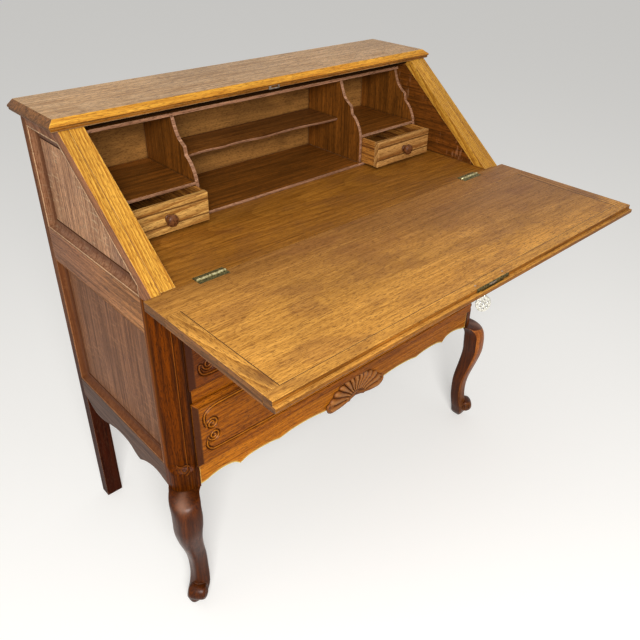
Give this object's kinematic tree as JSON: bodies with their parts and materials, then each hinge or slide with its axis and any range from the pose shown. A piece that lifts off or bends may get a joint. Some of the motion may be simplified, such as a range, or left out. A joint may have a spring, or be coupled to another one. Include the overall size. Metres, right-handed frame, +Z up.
{
  "type": "slant-front bureau",
  "caption": "Slant-front writing bureau in oak on cabriole legs: hinged fall, pigeonholes, small and long drawers, lopers, carved shell apron, key in the lock.",
  "frame": {"origin": "on the floor, under the middle of the bounding box with the fall open", "axes": "+X to the right as the user sees it, +Y to the back, +Z up; the fall opens towards -Y"},
  "size_m": [0.965, 0.7536, 0.9771],
  "materials": {
    "top_oak": "polished oak, brown with a cool sheen",
    "golden_oak": "polished golden oak with strong straight grain",
    "writing_oak": "polished golden brown oak, worn by writing",
    "side_oak": "polished oak with silver-grain flecks, purplish brown",
    "post_oak": "polished dark red-brown oak",
    "apron_oak": "polished orange-brown oak, carved",
    "drawer_oak": "polished brown oak, carved",
    "small_drawer_oak": "waxed light oak",
    "interior_oak": "waxed oak with pale worn edges",
    "raw_oak": "bare oak, unpolished",
    "bronze": "dark bronze, tarnished",
    "steel": "worn steel",
    "silver": "bright plated key, cast and pierced"
  },
  "bodies": {
    "case": {"top_board": "top_oak", "top_rail": "interior_oak", "inner_lining_left": "interior_oak", "inner_lining_right": "interior_oak", "unit_floor": "interior_oak", "unit_top": "interior_oak", "unit_divider_1": "interior_oak", "unit_divider_2": "interior_oak", "unit_divider_3": "interior_oak", "unit_divider_4": "interior_oak", "unit_shelf_left": "interior_oak", "unit_shelf_right": "interior_oak", "unit_shelf_middle": "interior_oak", "rear_post_left": "side_oak", "rear_post_right": "side_oak", "side_upper_frame_left": "side_oak", "side_upper_frame_right": "side_oak", "side_mid_rail_left": "side_oak", "side_mid_rail_right": "side_oak", "side_bottom_rail_left": "side_oak", "side_bottom_rail_right": "side_oak", "side_upper_panel_left": "side_oak", "side_upper_panel_right": "side_oak", "side_lower_panel_left": "side_oak", "side_lower_panel_right": "side_oak", "front_post_left": "post_oak", "front_post_right": "post_oak", "front_leg_left": "post_oak", "front_leg_right": "post_oak", "slope_facing_left": "golden_oak", "slope_facing_right": "golden_oak", "drawer_guide_left": "raw_oak", "drawer_guide_right": "raw_oak", "back_boards": "raw_oak", "loper_rail": "drawer_oak", "drawer_rail": "drawer_oak", "apron": "apron_oak", "writing_bed": "writing_oak", "hinge_bed_leaf_left": "bronze", "hinge_bed_leaf_right": "bronze"},
    "fall": {"fall_rear_rail": "writing_oak", "fall_stile_left": "writing_oak", "fall_stile_right": "writing_oak", "fall_panel": "writing_oak", "fall_front_rail": "writing_oak", "hinge_fall_leaf_left": "bronze", "hinge_fall_leaf_right": "bronze", "lock_case": "bronze"},
    "small_drawer_left": {"small_drawer_left_front": "small_drawer_oak", "small_drawer_left_box": "raw_oak"},
    "small_drawer_right": {"small_drawer_right_front": "small_drawer_oak", "small_drawer_right_box": "raw_oak"},
    "long_drawer_lower": {"long_drawer_lower_front": "drawer_oak", "long_drawer_lower_box": "raw_oak"},
    "long_drawer_upper": {"long_drawer_upper_front": "drawer_oak", "long_drawer_upper_box": "raw_oak"},
    "loper_left": {"loper_left": "drawer_oak"},
    "loper_right": {"loper_right": "drawer_oak"},
    "key": {"key": "silver"},
    "lock_bolt": {"lock_bolt": "steel"}
  },
  "joints": [
    {"name": "fall_hinge", "type": "hinge", "parent": "case", "child": "fall", "pos_m": [0, -0.05169, 0.7559], "axis": [-1, 0, 0], "range_deg": [0, 140.96]},
    {"name": "small_drawer_left_slide", "type": "slide", "parent": "case", "child": "small_drawer_left", "axis": [0, -1, 0], "range_m": [-0.04, 0.075]},
    {"name": "small_drawer_right_slide", "type": "slide", "parent": "case", "child": "small_drawer_right", "axis": [0, -1, 0], "range_m": [-0.053, 0.062]},
    {"name": "long_drawer_lower_slide", "type": "slide", "parent": "case", "child": "long_drawer_lower", "axis": [0, -1, 0], "range_m": [0, 0.25]},
    {"name": "long_drawer_upper_slide", "type": "slide", "parent": "case", "child": "long_drawer_upper", "axis": [0, -1, 0], "range_m": [0, 0.25]},
    {"name": "loper_left_slide", "type": "slide", "parent": "case", "child": "loper_left", "axis": [0, -1, 0], "range_m": [-0.26, 0]},
    {"name": "loper_right_slide", "type": "slide", "parent": "case", "child": "loper_right", "axis": [0, -1, 0], "range_m": [-0.26, 0]},
    {"name": "key_turn", "type": "hinge", "parent": "fall", "child": "key", "pos_m": [-0.007, -0.35831, 0.7], "axis": [0, 0, 1], "range_deg": [0, 180]},
    {"name": "bolt_throw", "type": "slide", "parent": "fall", "child": "lock_bolt", "axis": [0, -1, 0], "range_m": [0, 0.0041]}
  ],
  "couplings": [
    {"joint": "bolt_throw", "follows": "key_turn", "m_per_rad": 0.0012732}
  ]
}
